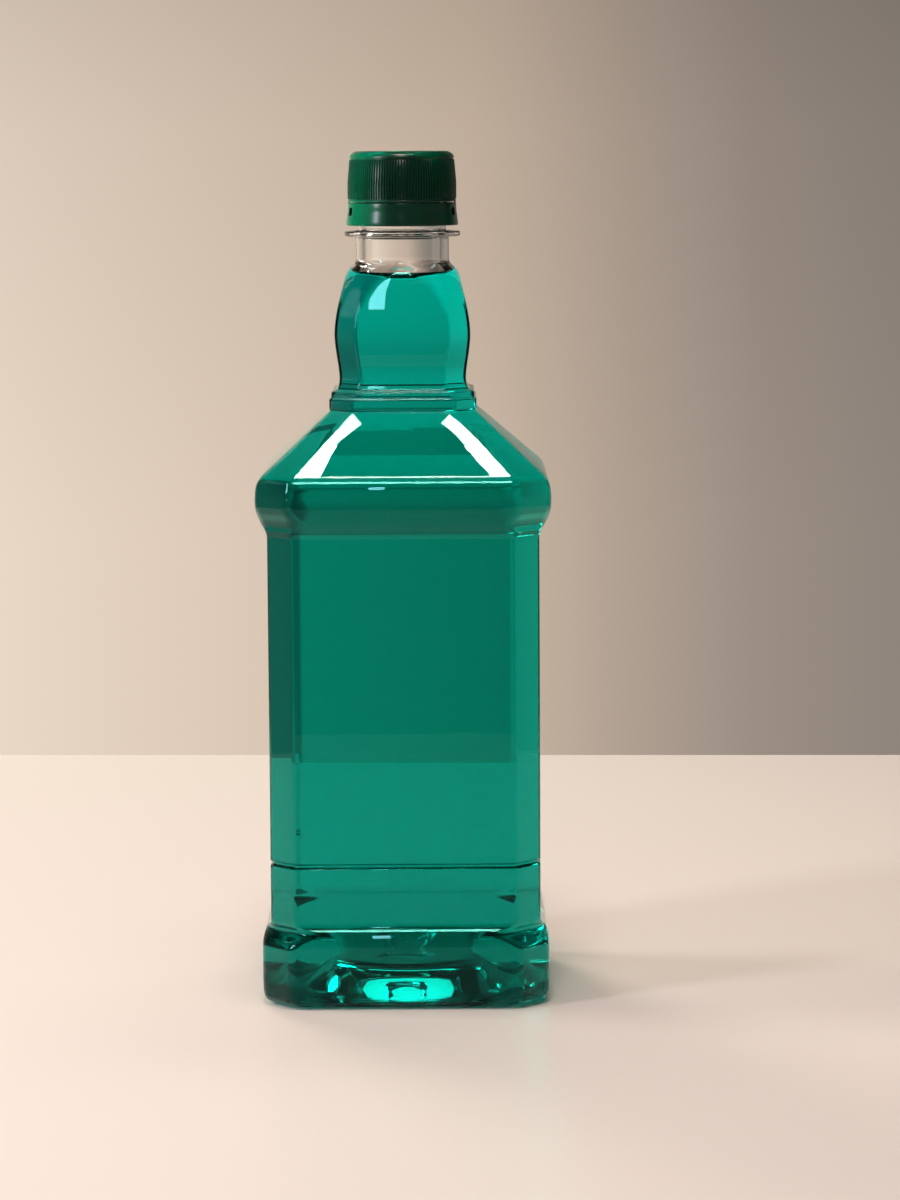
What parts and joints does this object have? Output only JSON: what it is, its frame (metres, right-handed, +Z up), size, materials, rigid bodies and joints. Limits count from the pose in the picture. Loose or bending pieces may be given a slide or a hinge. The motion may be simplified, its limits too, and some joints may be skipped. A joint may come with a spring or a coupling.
{
  "type": "square bottle with screw cap",
  "caption": "Clear square plastic bottle with a bulged shoulder, flared foot and thick neck, filled with green liquid and closed by a knurled screw cap over a tamper band",
  "frame": {"origin": "on the table, in the middle of the square foot", "axes": "+Z up along the closure's axis, front face towards -Y, square faces along X and Y"},
  "size_m": [0.0832, 0.0832, 0.24],
  "materials": {
    "clear_plastic": "clear, glossy blown plastic",
    "green_liquid": "clear green liquid",
    "green_plastic": "moulded, slightly glossy",
    "liner_foam": "soft foam disc",
    "band_plastic": "moulded, slightly glossy"
  },
  "bodies": {
    "bottle": {"bottle": "clear_plastic", "liquid_fill": "green_liquid"},
    "liner": {"cap_liner": "liner_foam"},
    "cap": {"screw_cap": "green_plastic"},
    "band": {"tamper_band": "band_plastic"}
  },
  "joints": [
    {"name": "cap_lift", "type": "slide", "parent": "bottle", "child": "liner", "axis": [0, 0, 1], "range_m": [0, 0.01195]},
    {"name": "cap_turn", "type": "hinge", "parent": "liner", "child": "cap", "pos_m": [0, 0, 0.2256], "axis": [0, 0, 1], "range_deg": [0, 1350]},
    {"name": "band_turn", "type": "hinge", "parent": "bottle", "child": "band", "pos_m": [0, 0, 0.2218], "axis": [0, 0, 1], "continuous": true}
  ],
  "couplings": [
    {"joint": "cap_lift", "follows": "cap_turn", "m_per_rad": 0.00050611}
  ]
}
